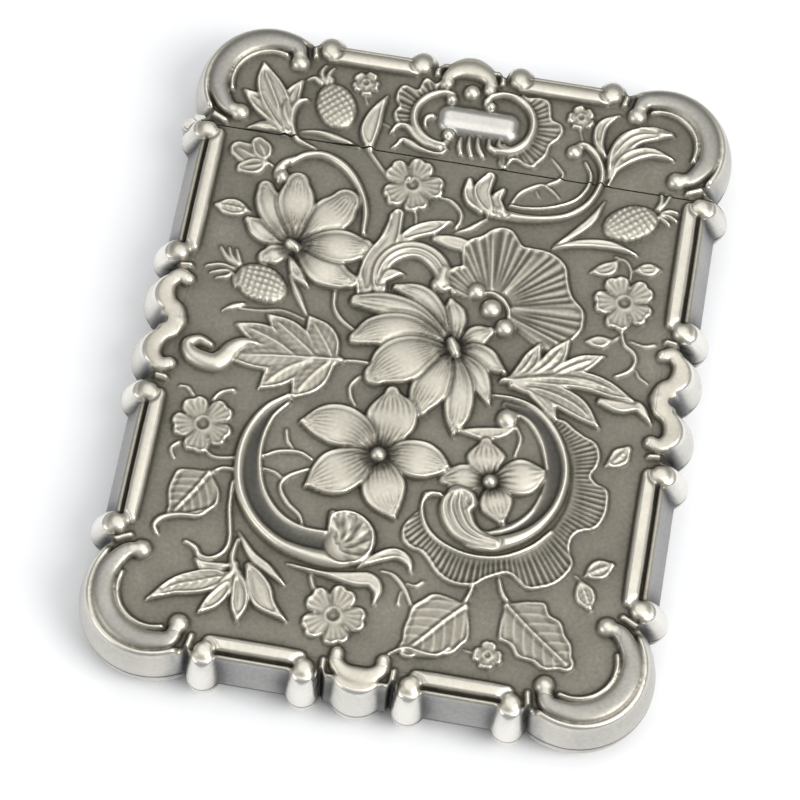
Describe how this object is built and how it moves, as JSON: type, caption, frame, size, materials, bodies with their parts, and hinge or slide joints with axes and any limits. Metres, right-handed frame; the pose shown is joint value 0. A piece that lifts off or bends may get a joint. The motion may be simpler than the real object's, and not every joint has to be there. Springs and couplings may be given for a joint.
{
  "type": "card case",
  "caption": "Slim rectangular embossed silver card case with floral scrollwork and a small lid that flips sideways on a pin hinge.",
  "frame": {"origin": "centre of the footprint on the plane of the flat rim of the back face, at its bottom", "axes": "+X across the case away from the hinge, +Y along the case towards the lid, +Z out of the front face"},
  "size_m": [0.074, 0.0942, 0.0105],
  "materials": {
    "silver_shell": "polished silver with darkened recesses",
    "silver_plain": "plain burnished silver",
    "silver_hinge": "drawn silver tube and wire"
  },
  "bodies": {
    "body": {"body_front_shell": "silver_shell", "body_back_shell": "silver_shell", "body_mouth_plate": "silver_plain", "mouth_collar": "silver_plain", "catch_ridge": "silver_plain", "body_hinge_leaf": "silver_hinge", "body_knuckle_front": "silver_hinge", "body_knuckle_back": "silver_hinge", "hinge_pin": "silver_hinge"},
    "lid": {"lid_front_shell": "silver_shell", "lid_back_shell": "silver_shell", "lid_mouth_plate": "silver_plain", "lid_hinge_leaf": "silver_hinge", "lid_knuckle": "silver_hinge"}
  },
  "joints": [
    {"name": "lid_hinge", "type": "hinge", "parent": "body", "child": "lid", "pos_m": [-0.0358, 0.0295, 0.00525], "axis": [0, 0, 1], "range_deg": [0, 100]}
  ]
}
